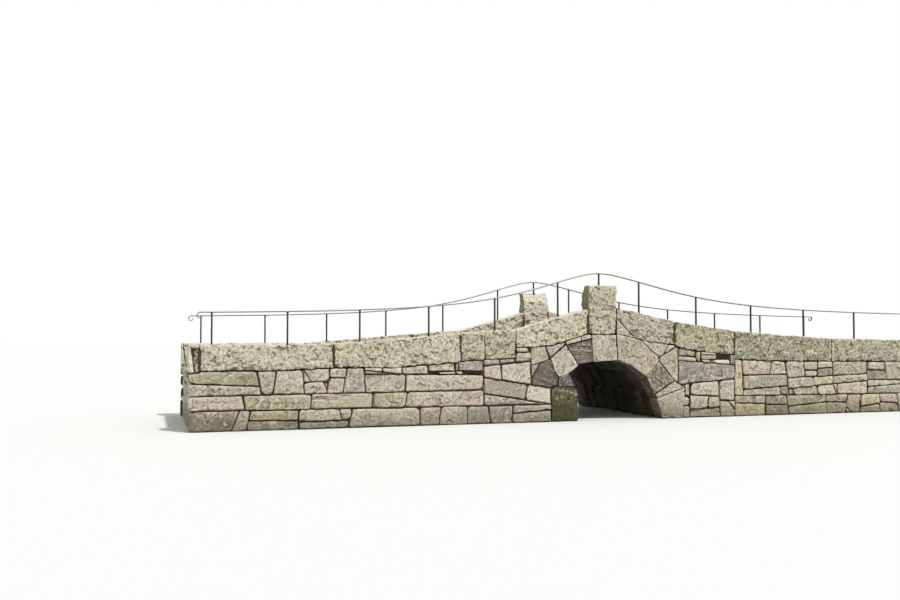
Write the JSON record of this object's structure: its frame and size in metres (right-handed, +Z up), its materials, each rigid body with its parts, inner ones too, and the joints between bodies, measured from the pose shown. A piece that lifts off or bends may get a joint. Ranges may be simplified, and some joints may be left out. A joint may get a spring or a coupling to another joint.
{
  "type": "stone arch bridge",
  "caption": "Small arched footbridge of rough granite: humped parapets of long blocks, a tall pillar at the crown of each, and a slim iron handrail on each side.",
  "frame": {"origin": "centre of the footprint, at the level where the walls meet the stream bed; the crown pillars stand over it", "axes": "+X along the bridge, -Y towards the front face that the picture shows, +Z up"},
  "size_m": [15.9, 3.76, 2.9391],
  "materials": {
    "granite_block": "rock-faced pale granite, lichen on the tops",
    "granite_arch": "roughly dressed warm grey granite",
    "granite_dark": "dark layered stone, mossy near the water",
    "rubble_masonry": "random rubble with open joints",
    "rubble_fill": "rubble and earth fill",
    "path_gravel": "compacted fine gravel",
    "handrail_iron": "dark weathered paint, worn grey along the top"
  },
  "bodies": {
    "root": {"front_left_end_stone": "granite_block", "front_left_parapet": "granite_block", "front_left_sloping_block": "granite_block", "front_pillar": "granite_block", "front_pillar_wedge": "granite_arch", "front_right_sloping_blocks": "granite_block", "front_right_parapet": "granite_block", "front_right_end_stone": "granite_block", "front_springers": "granite_dark", "front_arch_stones": "granite_arch", "front_keystone": "granite_arch", "front_pinning_stones": "granite_dark", "front_left_spandrel": "rubble_masonry", "front_right_spandrel": "rubble_masonry", "front_left_wing": "rubble_masonry", "front_right_wing": "rubble_masonry", "front_handrail": "handrail_iron", "front_posts": "handrail_iron", "back_left_end_stone": "granite_block", "back_left_parapet": "granite_block", "back_left_sloping_block": "granite_block", "back_pillar": "granite_block", "back_pillar_wedge": "granite_arch", "back_right_sloping_blocks": "granite_block", "back_right_parapet": "granite_block", "back_right_end_stone": "granite_block", "back_springers": "granite_dark", "back_arch_stones": "granite_arch", "back_keystone": "granite_arch", "back_pinning_stones": "granite_dark", "back_left_spandrel": "rubble_masonry", "back_right_spandrel": "rubble_masonry", "back_left_wing": "rubble_masonry", "back_right_wing": "rubble_masonry", "back_handrail": "handrail_iron", "back_posts": "handrail_iron", "vault_courses": "granite_dark", "left_haunch_fill": "rubble_fill", "right_haunch_fill": "rubble_fill", "left_approach_fill": "rubble_fill", "right_approach_fill": "rubble_fill", "path_surface": "path_gravel"}
  },
  "joints": []
}
